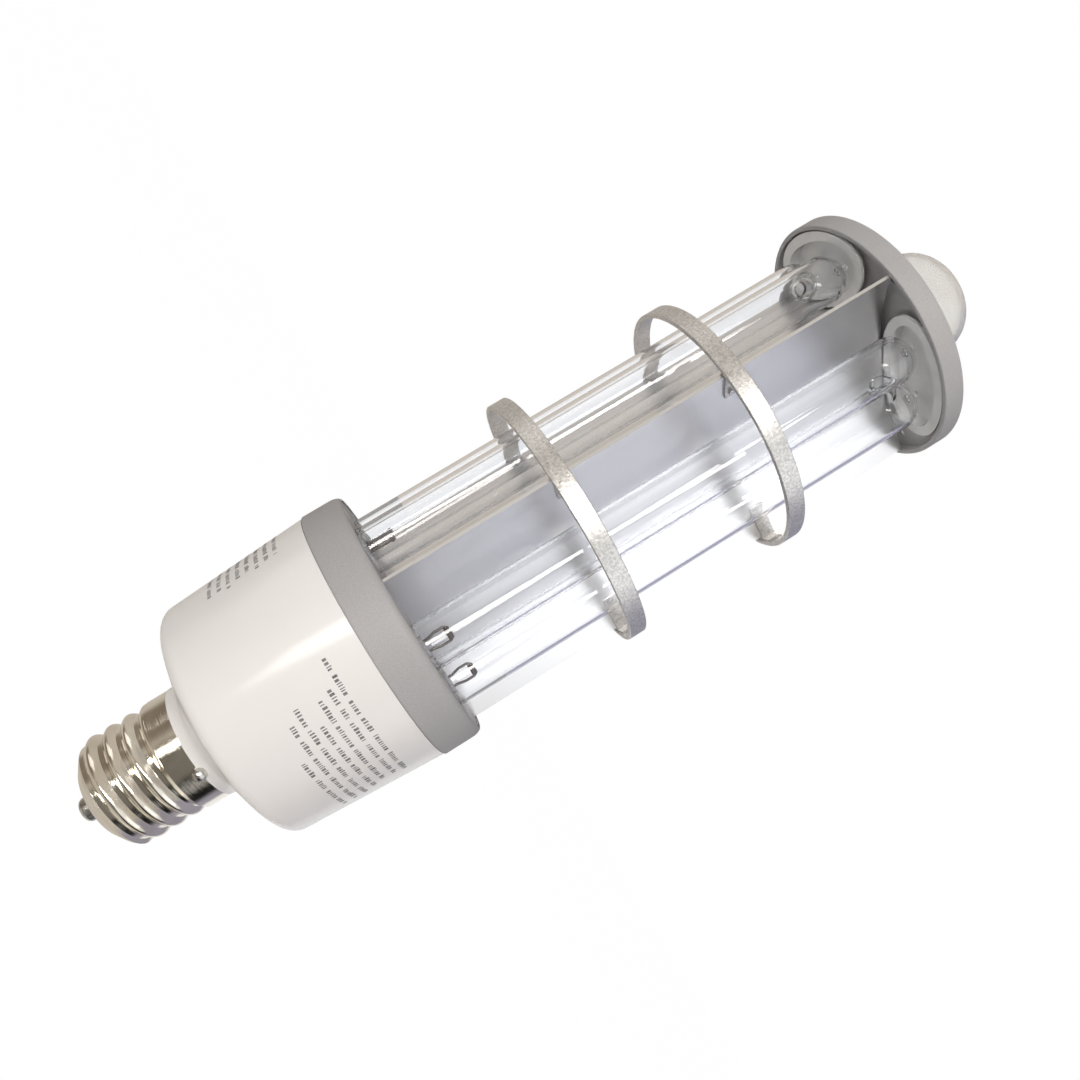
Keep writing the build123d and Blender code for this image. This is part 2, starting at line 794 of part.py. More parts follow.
def make_clip_rivets():
    """Rivets through the clips' legs and the reflector faces."""
    with BuildPart() as clip_rivets:
        for ring_z in (lower_ring_z, upper_ring_z):
            for index in range(bay_count):
                for side in (-1, 1):
                    centre_z = ring_z + ring_height / 2
                    plane = face_normal_plane(bay_plane(index), side, rivet_setback, centre_z)
                    with BuildSketch(plane.offset(-reflector_sheet)):
                        Circle(rivet_radius)
                    extrude(amount=reflector_sheet + clip_thickness + rivet_seat_gap)
                    with BuildSketch(plane.offset(clip_thickness + rivet_seat_gap)):
                        Circle(rivet_head_radius)
                    extrude(amount=rivet_head_height, taper=rivet_head_taper)
    return clip_rivets.part


def make_end_disc():
    """Shallow cup at the far end: lip on both sides of a floor with an oval hole for each end cup."""
    with BuildPart() as end_disc:
        with BuildSketch(Plane.XY.offset(disc_lip_z)):
            Circle(disc_radius)
        extrude(amount=disc_back_z - disc_lip_z)
        fillet(end_disc.edges().filter_by(GeomType.CIRCLE), disc_edge_radius)
        with BuildSketch(Plane.XY.offset(disc_lip_z)):
            Circle(disc_radius - disc_wall)
        extrude(amount=disc_floor_z - disc_lip_z, mode=Mode.SUBTRACT)
        with BuildSketch(Plane.XY.offset(disc_floor_back_z)):
            Circle(disc_radius - disc_wall)
        extrude(amount=disc_back_z - disc_floor_back_z, mode=Mode.SUBTRACT)
        for index in range(bay_count):
            with BuildSketch(bay_plane(index).offset(disc_floor_z)):
                with Locations((0, cup_distance)):
                    Ellipse(
                        cup_half_length - cup_rim_width + cup_wall + slip_gap,
                        cup_half_width - cup_rim_width + cup_wall + slip_gap,
                    )
            extrude(amount=disc_floor_thickness, mode=Mode.SUBTRACT)
        with BuildSketch(Plane.XY.offset(disc_floor_back_z)):
            with PolarLocations(cover_screw_circle_radius, bay_count, start_angle=-90):
                Circle(screw_radius)
            Circle(tie_tube_radius + slip_gap)
        extrude(amount=-disc_floor_thickness, mode=Mode.SUBTRACT)
    return end_disc.part


def make_end_cup(index):
    """Oval cup with a flat rim that holds a lamp's far end, and a flange behind the disc's floor."""
    bay = bay_plane(index)
    body_length = cup_half_length - cup_rim_width + cup_wall
    body_width = cup_half_width - cup_rim_width + cup_wall
    with BuildPart() as end_cup:
        with BuildSketch(bay.offset(cup_rim_z)):
            with Locations((0, cup_distance)):
                Ellipse(cup_half_length, cup_half_width)
        extrude(amount=cup_rim_thickness)
        with BuildSketch(bay.offset(cup_rim_z)):
            with Locations((0, cup_distance)):
                Ellipse(body_length, body_width)
        extrude(amount=cup_back_z - cup_rim_z)
        with BuildSketch(bay.offset(disc_floor_back_z)):
            with Locations((0, cup_distance)):
                Ellipse(body_length + cup_wall, body_width + cup_wall)
        extrude(amount=cup_flange_thickness)
        with BuildSketch(bay.offset(cup_rim_z)):
            with Locations((0, cup_distance)):
                Ellipse(body_length - cup_wall, body_width - cup_wall)
        extrude(amount=cup_back_z - cup_wall - cup_rim_z, mode=Mode.SUBTRACT)
    return end_cup.part


def make_end_cover():
    """Plate that closes the back of the end disc."""
    with BuildPart() as end_cover:
        with BuildSketch(Plane.XY.offset(disc_back_z - cover_thickness)):
            Circle(disc_radius - disc_wall - slip_gap)
            Circle(tie_tube_radius + slip_gap, mode=Mode.SUBTRACT)
            with PolarLocations(cover_screw_circle_radius, bay_count, start_angle=-90):
                Circle(screw_radius + slip_gap, mode=Mode.SUBTRACT)
        extrude(amount=cover_thickness)
    return end_cover.part


def make_pan_screws(top_z, circle_radius, start_angle, length):
    """Ring of pan-head screws that point down the axis, heads resting on top_z."""
    with BuildPart() as screws:
        with BuildSketch(Plane.XY.offset(top_z)):
            with PolarLocations(circle_radius, bay_count, start_angle=start_angle):
                Circle(screw_head_radius)
        extrude(amount=screw_head_height, taper=screw_head_taper)
        with BuildSketch(Plane.XY.offset(top_z)):
            with PolarLocations(circle_radius, bay_count, start_angle=start_angle):
                Circle(screw_radius)
        extrude(amount=-length)
    return screws.part


def make_deck_screws():
    """Countersunk screws that hold the deck to the collar's bosses."""
    with BuildPart() as deck_screws:
        for index in range(bay_count):
            plane = upright(bay_plane(index), 0, deck_screw_circle_radius)
            with BuildSketch(plane):
                with BuildLine():
                    Polyline(
                        (0, deck_top_z),
                        (screw_head_radius, deck_top_z),
                        (screw_radius, deck_top_z - screw_head_radius + screw_radius),
                        (screw_radius, deck_top_z - deck_screw_length),
                        (0, deck_top_z - deck_screw_length),
                        close=True,
                    )
                make_face()
            revolve(axis=Axis(plane.origin, (0, 0, 1)))
    return deck_screws.part


def make_tie_tube():
    """Steel tube on the axis that ties the end disc to the deck and carries the sensor's lead."""
    with BuildPart() as tie_tube:
        with BuildSketch(Plane.XY.offset(tie_tube_bottom_z)):
            Circle(tie_tube_radius)
            Circle(tie_tube_radius - tie_tube_wall, mode=Mode.SUBTRACT)
        extrude(amount=disc_back_z + nut_height + tie_tube_overhang - tie_tube_bottom_z)
    return tie_tube.part


def make_tube_nuts():
    """Nuts on the tie tube, on both sides of the deck and of the end disc with its cover."""
    with BuildPart() as tube_nuts:
        for low_z in (deck_bottom_z - nut_height, deck_top_z, disc_floor_z - nut_height, disc_back_z):
            with BuildSketch(Plane.XY.offset(low_z)):
                RegularPolygon(nut_across_flats / 2, 6, major_radius=False)
                Circle(tie_tube_radius + nut_thread_gap, mode=Mode.SUBTRACT)
            extrude(amount=nut_height)
    return tube_nuts.part


def make_sensor_dome():
    """Pale translucent cap: slightly tapered wall and a rounded crown."""
    out, up = dome_waist_normal
    with BuildPart() as sensor_dome:
        for wall, mode in ((0.0, Mode.ADD), (dome_wall, Mode.SUBTRACT)):
            with BuildSketch(Plane.XZ):
                with BuildLine():
                    Polyline(
                        (0, disc_back_z),
                        (dome_radius - wall, disc_back_z),
                        (dome_shoulder_radius - wall, dome_shoulder_z),
                    )
                    ThreePointArc(
                        (dome_shoulder_radius - wall, dome_shoulder_z),
                        (dome_waist_radius - wall * out, dome_waist_z - wall * up),
                        (dome_crown_radius, dome_crown_z - wall),
                    )
                    Polyline(
                        (dome_crown_radius, dome_crown_z - wall),
                        (0, dome_top_z - wall),
                        (0, disc_back_z),
                    )
                make_face()
            revolve(axis=Axis.Z, mode=mode)
    return sensor_dome.part


def make_sensor_board():
    """Round board under the dome."""
    with BuildPart() as sensor_board:
        with BuildSketch(Plane.XY.offset(sensor_board_z)):
            Circle(sensor_board_radius)
        extrude(amount=board_thickness)
    return sensor_board.part


def make_sensor_standoffs():
    """Posts that carry the sensor board above the end cover."""
    with BuildPart() as sensor_standoffs:
        with BuildSketch(Plane.XY.offset(disc_back_z)):
            with PolarLocations(standoff_circle_radius, bay_count):
                Circle(standoff_radius)
        extrude(amount=sensor_board_z - disc_back_z)
    return sensor_standoffs.part


def make_sensor_eye():
    """Round metal can of the motion sensor with a foot flange."""
    with BuildPart() as sensor_eye:
        with BuildSketch(Plane.XY.offset(sensor_board_z + board_thickness)):
            Circle(sensor_eye_radius)
        extrude(amount=sensor_eye_flange)
        with BuildSketch(Plane.XY.offset(sensor_board_z + board_thickness)):
            Circle(sensor_eye_radius - sensor_eye_flange / 2)
        extrude(amount=sensor_eye_height)
        fillet(sensor_eye.edges().filter_by(GeomType.CIRCLE).sort_by(Axis.Z)[-1], sensor_eye_edge_radius)
    return sensor_eye.part


def make_signal_receiver():
    """Small remote-signal receiver beside the motion sensor, with a rounded front."""
    length, width, height = receiver_size
    with BuildPart() as signal_receiver:
        with BuildSketch(Plane.XY.offset(sensor_board_z + board_thickness)):
            with Locations((0, -receiver_offset)):
                Rectangle(length, width)
        extrude(amount=height)
        fillet(signal_receiver.edges().filter_by(Axis.X).sort_by(Axis.Z)[-2:], receiver_edge_radius)
    return signal_receiver.part


def make_sensor_lead():
    """Lead inside the tie tube, from below the deck up to the sensor board."""
    with BuildPart() as sensor_lead:
        with BuildSketch(Plane.XY.offset(tie_tube_bottom_z - sensor_lead_tail)):
            Circle(sensor_lead_radius)
        extrude(amount=sensor_board_z - tie_tube_bottom_z + sensor_lead_tail)
    return sensor_lead.part


def make_ballast_board():
    """Round ballast board with three fixing holes."""
    with BuildPart() as ballast_board:
        with BuildSketch(Plane.XY.offset(ballast_board_z)):
            Circle(ballast_board_radius)
            with PolarLocations(board_post_circle_radius, bay_count):
                Circle(board_hole_radius, mode=Mode.SUBTRACT)
        extrude(amount=board_thickness)
    return ballast_board.part


def make_choke_coils(board_top):
    """Two square-cored chokes with a round winding between their cheeks."""
    length, width, height = choke_size
    cheek = (height - choke_winding_height) / 2
    with BuildPart() as choke_coils:
        with Locations(board_top):
            with Locations(*choke_places):
                for low in (0, cheek + choke_winding_height):
                    with Locations((0, 0, low)):
                        Box(length, width, cheek, align=(Align.CENTER, Align.CENTER, Align.MIN))
                with Locations((0, 0, cheek)):
                    align = (Align.CENTER, Align.CENTER, Align.MIN)
                    Cylinder(choke_winding_radius, choke_winding_height, align=align)
    return choke_coils.part


def make_storage_capacitors(board_top):
    """Two upright storage capacitors with a rolled groove near the foot."""
    with BuildPart() as storage_capacitors:
        with BuildSketch(board_top):
            with Locations(*capacitor_places):
                Circle(capacitor_radius)
        extrude(amount=capacitor_height)
        fillet(storage_capacitors.edges().filter_by(GeomType.CIRCLE).group_by(Axis.Z)[-1], component_edge)
    return storage_capacitors.part


def make_film_capacitors(board_top):
    """Three boxed film capacitors."""
    length, width, height = film_size
    with BuildPart() as film_capacitors:
        with BuildSketch(board_top):
            with Locations(*film_places):
                RectangleRounded(length, width, component_edge)
        extrude(amount=height)
    return film_capacitors.part


def make_switching_transistors(board_top):
    """Four upright switching transistors near the board's edge."""
    length, width, height = transistor_size
    with BuildPart() as switching_transistors:
        with BuildSketch(board_top):
            with Locations(*transistor_places):
                Rectangle(length, width)
        extrude(amount=height)
        chamfer(switching_transistors.edges().filter_by(Axis.X).group_by(Axis.Z)[-1], component_edge)
    return switching_transistors.part


def make_line_filter(board_top):
    """Ring-cored line filter lying on the board."""
    with BuildPart() as line_filter:
        with BuildSketch(board_top):
            with Locations(filter_place):
                Circle(filter_radius)
                Circle(filter_hole_radius, mode=Mode.SUBTRACT)
        extrude(amount=filter_height)
    return line_filter.part


def make_line_fuse(board_top):
    """Glass-bodied fuse lying on the board between two clips."""
    clip_height = 2 * fuse_radius + fuse_clip_rise
    align = (Align.CENTER, Align.CENTER, Align.MIN)
    with BuildPart() as line_fuse:
        with Locations(board_top):
            with Locations((*fuse_place, fuse_radius)):
                Cylinder(fuse_radius, fuse_length, rotation=(90, 0, 0))
            with Locations(
                (fuse_place[0], fuse_place[1] - fuse_length / 2, 0),
                (fuse_place[0], fuse_place[1] + fuse_length / 2, 0),
            ):
                Box(2 * fuse_radius, fuse_clip_width, clip_height, align=align)
    return line_fuse.part


def make_lamp_connectors(board_top):
    """Three plug blocks where the lamps' leads come onto the board."""
    length, width, height = connector_size
    with BuildPart() as lamp_connectors:
        with BuildSketch(board_top):
            with Locations(*connector_places):
                Rectangle(width, length)
        extrude(amount=height)
    return lamp_connectors.part


def make_contact_lead():
    """Lead from the centre contact's stem straight up to the ballast board."""
    with BuildPart() as contact_lead:
        with BuildSketch(Plane.XY.offset(insulator_top_z)):
            Circle(wire_radius)
        extrude(amount=ballast_board_z - insulator_top_z)
    return contact_lead.part


def make_shell_lead():
    """Lead from the ballast board down to the inside of the screw shell."""
    low_z = shell_rim_z - housing_plug_length - shell_lead_drop
    with BuildPart() as shell_lead:
        with BuildLine() as path:
            FilletPolyline(
                (shell_lead_offset, 0, ballast_board_z),
                (shell_lead_offset, 0, low_z),
                (shell_bore_radius - wire_end_gap, 0, low_z),
                radius=wire_bend_radius,
            )
        with BuildSketch(Plane(origin=path.line @ 0, z_dir=path.line % 0)):
            Circle(wire_radius)
        sweep(path=path.line)
    return shell_lead.part


# Screw base and housing
save(make_screw_shell(), "screw_shell")
save(make_shell_solder(), "shell_solder")
save(make_center_contact(), "center_contact")
save(make_base_insulator(), "base_insulator")
save(make_ballast_housing(), "ballast_housing")
save(make_collar_ring(), "collar_ring")
save(make_lamp_deck(), "lamp_deck")
save(make_deck_screws(), "deck_screws")
save(make_contact_lead(), "contact_lead")
save(make_shell_lead(), "shell_lead")

# Lamps and reflector
for bay_number in range(bay_count):
    save(make_reflector_panel(bay_number), f"reflector_panel_{bay_number + 1}")
    save(make_uv_lamp(bay_number), f"uv_lamp_{bay_number + 1}")
    save(make_lamp_base(bay_number), f"lamp_base_{bay_number + 1}")
    save(make_stem_press(bay_number), f"stem_press_{bay_number + 1}")
    save(make_electrodes(bay_number), f"electrodes_{bay_number + 1}")
    save(make_end_cup(bay_number), f"end_cup_{bay_number + 1}")
save(make_lamp_pins(), "lamp_pins")

# Guard rings
for ring_name, ring_low_z in (("lower", lower_ring_z), ("upper", upper_ring_z)):
    save(make_guard_ring(ring_low_z), f"guard_ring_{ring_name}")
    for corner_number in range(bay_count):
        save(make_ring_clip(corner_number, ring_low_z), f"ring_clip_{ring_name}_{corner_number + 1}")
save(make_clip_rivets(), "clip_rivets")

# End disc, tie tube and sensor
save(make_end_disc(), "end_disc")
save(make_end_cover(), "end_cover")
save(make_pan_screws(disc_back_z, cover_screw_circle_radius, -90, cover_screw_length), "cover_screws")
save(make_tie_tube(), "tie_tube")
save(make_tube_nuts(), "tube_nuts")
save(make_sensor_dome(), "sensor_dome")
save(make_sensor_board(), "sensor_board")
save(make_sensor_standoffs(), "sensor_standoffs")
save(make_sensor_eye(), "sensor_eye")
save(make_signal_receiver(), "signal_receiver")
save(make_sensor_lead(), "sensor_lead")

# Ballast
board_top_z = ballast_board_z + board_thickness
ballast_top = Plane.XY.offset(board_top_z)
save(make_ballast_board(), "ballast_board")
save(make_pan_screws(board_top_z, board_post_circle_radius, 0, board_screw_length), "board_screws")
save(make_choke_coils(ballast_top), "choke_coils")
save(make_storage_capacitors(ballast_top), "storage_capacitors")
save(make_film_capacitors(ballast_top), "film_capacitors")
save(make_switching_transistors(ballast_top), "switching_transistors")
save(make_line_filter(ballast_top), "line_filter")
save(make_line_fuse(ballast_top), "line_fuse")
save(make_lamp_connectors(ballast_top), "lamp_connectors")
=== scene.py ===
"""Looks of an ultraviolet corn lamp: finishes, softened shells, printed panels, studio and camera.

Metres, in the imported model's frame: +Z runs up the lamp's axis from the base's contact tip, and one corner of
the reflector points along -Y. Azimuths are in degrees from -Y towards +X.
"""

import json
import math
import random

import bmesh
import bpy
from mathutils import Matrix, Vector

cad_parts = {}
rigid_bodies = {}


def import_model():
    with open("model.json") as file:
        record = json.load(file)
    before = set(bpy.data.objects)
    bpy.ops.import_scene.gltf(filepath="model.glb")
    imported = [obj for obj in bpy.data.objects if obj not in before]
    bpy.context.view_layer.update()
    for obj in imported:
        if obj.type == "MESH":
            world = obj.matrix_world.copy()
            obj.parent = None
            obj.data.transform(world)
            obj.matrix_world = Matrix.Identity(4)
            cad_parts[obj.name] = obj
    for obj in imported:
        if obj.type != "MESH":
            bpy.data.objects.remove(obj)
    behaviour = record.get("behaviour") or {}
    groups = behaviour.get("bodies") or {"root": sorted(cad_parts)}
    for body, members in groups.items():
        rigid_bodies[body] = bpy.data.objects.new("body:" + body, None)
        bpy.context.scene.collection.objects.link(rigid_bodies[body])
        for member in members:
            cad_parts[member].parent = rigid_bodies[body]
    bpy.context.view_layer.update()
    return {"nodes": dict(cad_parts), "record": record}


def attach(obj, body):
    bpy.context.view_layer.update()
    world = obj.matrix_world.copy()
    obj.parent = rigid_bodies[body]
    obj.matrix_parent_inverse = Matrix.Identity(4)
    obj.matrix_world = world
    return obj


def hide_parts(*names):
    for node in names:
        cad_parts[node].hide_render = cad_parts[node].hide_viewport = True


for leftover in list(bpy.data.objects):
    bpy.data.objects.remove(leftover)

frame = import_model()
MM = 0.001

# Camera: place, its right, up and backward directions, lens and sensor in mm, and nearest distance it sees
CAMERA_PLACE = (0.08875, -0.29961, 0.13912)
CAMERA_RIGHT = Vector((0.52419, 0.06082, 0.84943))
CAMERA_UP = Vector((-0.80504, -0.2899, 0.51756))
CAMERA_BACK = Vector((0.27773, -0.95512, -0.103))
CAMERA_LENS = 30.735
CAMERA_SENSOR = 36.0
CAMERA_NEAREST = 0.01

# Middle of the lamp, which the lights aim at
LAMP_MIDDLE = Vector((0.0, 0.0, 0.17))

# Softboxes: name, distances from the lamp's middle along the camera's right, up and back, size,
# power and colour
SOFTBOXES = (
    ("key", (0.05, 0.16, 1.05), (1.2, 0.2), 11.5, (1.0, 0.965, 0.92)),
    ("side", (0.72, -0.62, 0.38), (0.6, 0.6), 0.7, (0.95, 0.97, 1.0)),
    ("top", (-0.45, 0.8, 0.2), (0.8, 0.5), 1.1, (1.0, 0.98, 0.95)),
)

# Level of the sky that lights the lamp
SKY_LEVEL = 0.3

# Floor: size, drop that keeps it clear of the contact's tip, paint, glow, and the share of the glow,
# which no shadow dims
FLOOR_SIZE = 60.0
FLOOR_DROP = 0.0004
FLOOR_WHITE = 0.93
FLOOR_ROUGHNESS = 0.9
FLOOR_GLOW = 1.04
FLOOR_GLOW_SHARE = 0.94

# Room as metal mirrors it: one tone, then cards, each laid over those before it. A card is its direction
# along the camera's right, up and back, the cosines of the angles from there at which it starts and is
# full, and its tone
ROOM_TONE = (0.6, 0.55, 0.49)
ROOM_CARDS = (
    ((0.55, -0.6, -0.6), 0.45, 0.8, (0.37, 0.365, 0.45)),
    ((0.0, -0.3, 1.0), 0.55, 0.85, (0.2, 0.185, 0.165)),
    ((-0.78, 0.6, 0.15), 0.72, 0.92, (0.25, 0.21, 0.17)),
    ((0.16, -0.93, 0.25), 0.8, 0.93, (0.015, 0.015, 0.015)),
    ((0.66, -0.66, 0.36), 0.84, 0.93, (1.0, 1.0, 1.0)),
    ((0.7, -0.35, 0.62), 0.85, 0.93, (1.0, 1.0, 1.0)),
    ((-0.12, -0.62, -0.8), 0.93, 0.97, (1.0, 1.0, 1.0)),
)

# Share of a noise at which a blend of two colours starts and ends, and at which a shader input does
BLEND_SPAN = (0.35, 0.65)
INPUT_SPAN = (0.3, 0.7)

# Straight barrel of the housing, which carries the print, and the thickness of the ink, all in metres
BARREL_LOW_Z = 53.6 * MM
BARREL_LOW_RADIUS = 41.7 * MM
BARREL_TOP_Z = 107.7 * MM
BARREL_TOP_RADIUS = 45.3 * MM
PRINT_LIFT = 0.03 * MM

# Printed panels: rows of a height in mm and the azimuths between which they run. The left panel's rows are
# evenly spaced, and their ends step through a few degrees
RIGHT_ROWS = (
    (96.3, 14, 80), (92.9, 25, 80), (89.1, 27, 79), (85.5, 36, 82),
    (81.9, 25, 84), (78.3, 30, 84), (74.7, 46, 84),
)
LEFT_ROW_COUNT = 8
LEFT_TOP_Z = 97.3
LEFT_ROW_PITCH = 3.4
LEFT_START = -88
LEFT_END = -40
LEFT_END_STEPS = 3

# Printed marks: half heights of tall and short ones in mm, then widths, gaps between marks, lengths of
# groups and gaps between groups in degrees
MARK_TALL = 0.95
MARK_SHORT = 0.65
MARK_WIDTHS = (0.45, 0.7, 1.1)
MARK_GAPS = (0.45, 0.8)
GROUP_LENGTHS = (4.0, 11.0)
GROUP_GAPS = (1.4, 2.2)

# Turned pieces: steps round the axis, and the angle in degrees from which an edge is sharp
TURN_STEPS = 128
SHARP_ANGLE = 30

# Low dome over the sensor in mm: its foot, the height at which its side starts to close, its top and
# wall, how far the side draws in from the foot, how square its curve is, and the steps along it
DOME_FOOT_Z = 310.4
DOME_FOOT_RADIUS = 19.8
DOME_SHOULDER_Z = 329.0
DOME_TOP_Z = 343.6
DOME_WALL = 1.4
DOME_DRAFT = 0.3
DOME_SQUARENESS = 2.35
DOME_STEPS = 22

# Collar in mm, as radius and height: its section apart from the outer edge, then centre, reach and steps
# of the ellipse of that edge
COLLAR_SECTION = (
    (44.0, 121.7), (43.9, 121.7), (43.9, 118.1), (42.1, 118.1), (42.1, 116.5), (43.9, 114.7),
    (43.9, 109.7), (41.45, 109.7), (41.45, 103.1), (42.95, 103.1), (42.95, 107.7), (44.9, 107.7),
    (44.9, 108.1), (45.7, 108.1),
)
COLLAR_EDGE_CENTRE = (44.0, 118.0)
COLLAR_EDGE_REACH = (1.7, 3.7)
COLLAR_EDGE_STEPS = 9

# Housing's section in mm: radius and height of each corner, and the radius that rounds it, then the steps
# of an arc
HOUSING_SECTION = (
    (17.1, 27.7, 0), (17.1, 33.9, 0), (19.05, 35.3, 0), (19.05, 42.7, 0), (19.9, 42.7, 0),
    (19.9, 46.4, 5.0), (41.82, 55.35, 4.5), (45.3, 107.7, 0), (43.1, 107.7, 0), (43.1, 102.8, 0),
    (42.77, 102.8, 0), (39.62, 57.55, 2.3), (14.9, 48.6, 0), (14.9, 27.7, 0),
)
ARC_STEPS = 10


def math_node(nodes, links, operation, first, second):
    """Value of an operation on two parts; each is a socket or a number."""
    node = nodes.new("ShaderNodeMath")
    node.operation = operation
    for socket, part in zip(node.inputs, (first, second)):
        if isinstance(part, (int, float)):
            socket.default_value = part
        else:
            links.new(part, socket)
    return node.outputs["Value"]


def ray_kinds(nodes, links):
    """Two values: one is 1 for rays that see straight to the background, the other for mirrored rays."""
    path = nodes.new("ShaderNodeLightPath").outputs
    mirrored = math_node(nodes, links, "MINIMUM", path["Glossy Depth"], 1.0)
    through_mirrored = math_node(nodes, links, "MULTIPLY", path["Is Transmission Ray"], mirrored)
    straight = math_node(nodes, links, "SUBTRACT", path["Is Transmission Ray"], through_mirrored)
    clear = math_node(nodes, links, "MAXIMUM", path["Is Camera Ray"], straight)
    gloss = math_node(nodes, links, "MAXIMUM", path["Is Glossy Ray"], through_mirrored)
    return clear, gloss


def mixed(nodes, links, factor, first, second):
    """Colour from first to second; each is a socket or a colour."""
    node = nodes.new("ShaderNodeMix")
    node.data_type = "RGBA"
    links.new(factor, node.inputs["Factor"])
    for name, part in (("A", first), ("B", second)):
        if isinstance(part, tuple):
            node.inputs[name].default_value = (*part, 1.0)
        else:
            links.new(part, node.inputs[name])
    return node.outputs["Result"]


def graded(nodes, links, vector, axis, start, full):
    """Value that runs from 0 to 1 as vector's reach along axis runs from start to full."""
    reach = nodes.new("ShaderNodeVectorMath")
    reach.operation = "DOT_PRODUCT"
    reach.inputs[1].default_value = axis
    links.new(vector, reach.inputs[0])
    spread = nodes.new("ShaderNodeMapRange")
    spread.interpolation_type = "SMOOTHSTEP"
    spread.inputs["From Min"].default_value = start
    spread.inputs["From Max"].default_value = full
    links.new(reach.outputs["Value"], spread.inputs["Value"])
    return spread.outputs["Result"]


class Finish:
    """A Principled material with helpers for the nodes that vary it.

    Noise is in object space, in metres. Colour and roughness are the material's own where nothing varies
    them."""

    def __init__(self, name, color, roughness, metallic=0.0):
        self.material = bpy.data.materials.new(name)
        self.material.use_nodes = True
        self.nodes = self.material.node_tree.nodes
        self.links = self.material.node_tree.links
        self.shader = self.nodes["Principled BSDF"]
        self.output = self.nodes["Material Output"]
        self.shader.inputs["Base Color"].default_value = (*color, 1.0)
        self.shader.inputs["Roughness"].default_value = roughness
        self.shader.inputs["Metallic"].default_value = metallic
        self.place = self.nodes.new("ShaderNodeTexCoord").outputs["Object"]

    def noise(self, scale, detail, stretch=(1.0, 1.0, 1.0)):
        """Noise whose features are about 1/scale metres wide, made longer or shorter by stretch."""
        mapping = self.nodes.new("ShaderNodeMapping")
        mapping.inputs["Scale"].default_value = stretch
        self.links.new(self.place, mapping.inputs["Vector"])
        texture = self.nodes.new("ShaderNodeTexNoise")
        texture.inputs["Scale"].default_value = scale
        texture.inputs["Detail"].default_value = detail
        self.links.new(mapping.outputs["Vector"], texture.inputs["Vector"])
        return texture.outputs["Fac"]

    def blend_color(self, factor, low, high):
        """Base colour that runs from low to high with factor."""
        ramp = self.nodes.new("ShaderNodeValToRGB")
        ramp.color_ramp.elements[0].position = BLEND_SPAN[0]
        ramp.color_ramp.elements[0].color = (*low, 1.0)
        ramp.color_ramp.elements[1].position = BLEND_SPAN[1]
        ramp.color_ramp.elements[1].color = (*high, 1.0)
        self.links.new(factor, ramp.inputs["Fac"])
        self.links.new(ramp.outputs["Color"], self.shader.inputs["Base Color"])

    def vary(self, socket, factor, low, high):
        """A shader input that runs from low to high with factor."""
        spread = self.nodes.new("ShaderNodeMapRange")
        spread.inputs["From Min"].default_value = INPUT_SPAN[0]
        spread.inputs["From Max"].default_value = INPUT_SPAN[1]
        spread.inputs["To Min"].default_value = low
        spread.inputs["To Max"].default_value = high
        self.links.new(factor, spread.inputs["Value"])
        self.links.new(spread.outputs["Result"], self.shader.inputs[socket])

    def bump(self, height, strength, distance):
        """Relief from a height, on top of any relief that is there already."""
        node = self.nodes.new("ShaderNodeBump")
        node.inputs["Strength"].default_value = strength
        node.inputs["Distance"].default_value = distance
        self.links.new(height, node.inputs["Height"])
        normal = self.shader.inputs["Normal"]
        if normal.is_linked:
            self.links.new(normal.links[0].from_socket, node.inputs["Normal"])
        self.links.new(node.outputs["Normal"], normal)

    def let_lamps_through(self, tint, thinness=0.0):
        """Clear glass that casts only a faint shadow.

        Thinness is the share of all other light that goes straight on through it."""
        clear = self.nodes.new("ShaderNodeBsdfTransparent")
        clear.inputs["Color"].default_value = (*tint, 1.0)
        path = self.nodes.new("ShaderNodeLightPath")
        mix = self.nodes.new("ShaderNodeMixShader")
        share = math_node(self.nodes, self.links, "MAXIMUM", path.outputs["Is Shadow Ray"], thinness)
        self.links.new(share, mix.inputs["Fac"])
        self.links.new(self.shader.outputs["BSDF"], mix.inputs[1])
        self.links.new(clear.outputs["BSDF"], mix.inputs[2])
        self.links.new(mix.outputs["Shader"], self.output.inputs["Surface"])


def nickel_plate():
    """Bright nickel with faint drawing lines round the shell and a slightly cloudy polish."""
    finish = Finish("nickel_plate", (0.78, 0.74, 0.65), 0.14, metallic=1.0)
    finish.blend_color(finish.noise(70, 3), (0.7, 0.65, 0.56), (0.84, 0.8, 0.72))
    finish.vary("Roughness", finish.noise(240, 4), 0.08, 0.2)
    finish.bump(finish.noise(60, 2, stretch=(1, 1, 60)), 0.12, 0.0002)
    finish.bump(finish.noise(700, 3), 0.12, 0.0002)
    return finish.material


def contact_solder():
    """Tin-lead solder, a little rough and pitted."""
    finish = Finish("contact_solder", (0.6, 0.59, 0.56), 0.24, metallic=1.0)
    finish.blend_color(finish.noise(400, 4), (0.42, 0.41, 0.39), (0.76, 0.75, 0.72))
    finish.vary("Roughness", finish.noise(500, 3), 0.14, 0.38)
    finish.bump(finish.noise(900, 4), 0.35, 0.0002)
    return finish.material


def dark_insulator():
    """Moulded black thermoset with a fine grain."""
    finish = Finish("dark_insulator", (0.05, 0.048, 0.046), 0.4)
    finish.blend_color(finish.noise(500, 4), (0.035, 0.033, 0.031), (0.07, 0.067, 0.064))
    finish.bump(finish.noise(2200, 3), 0.2, 0.0001)
    return finish.material


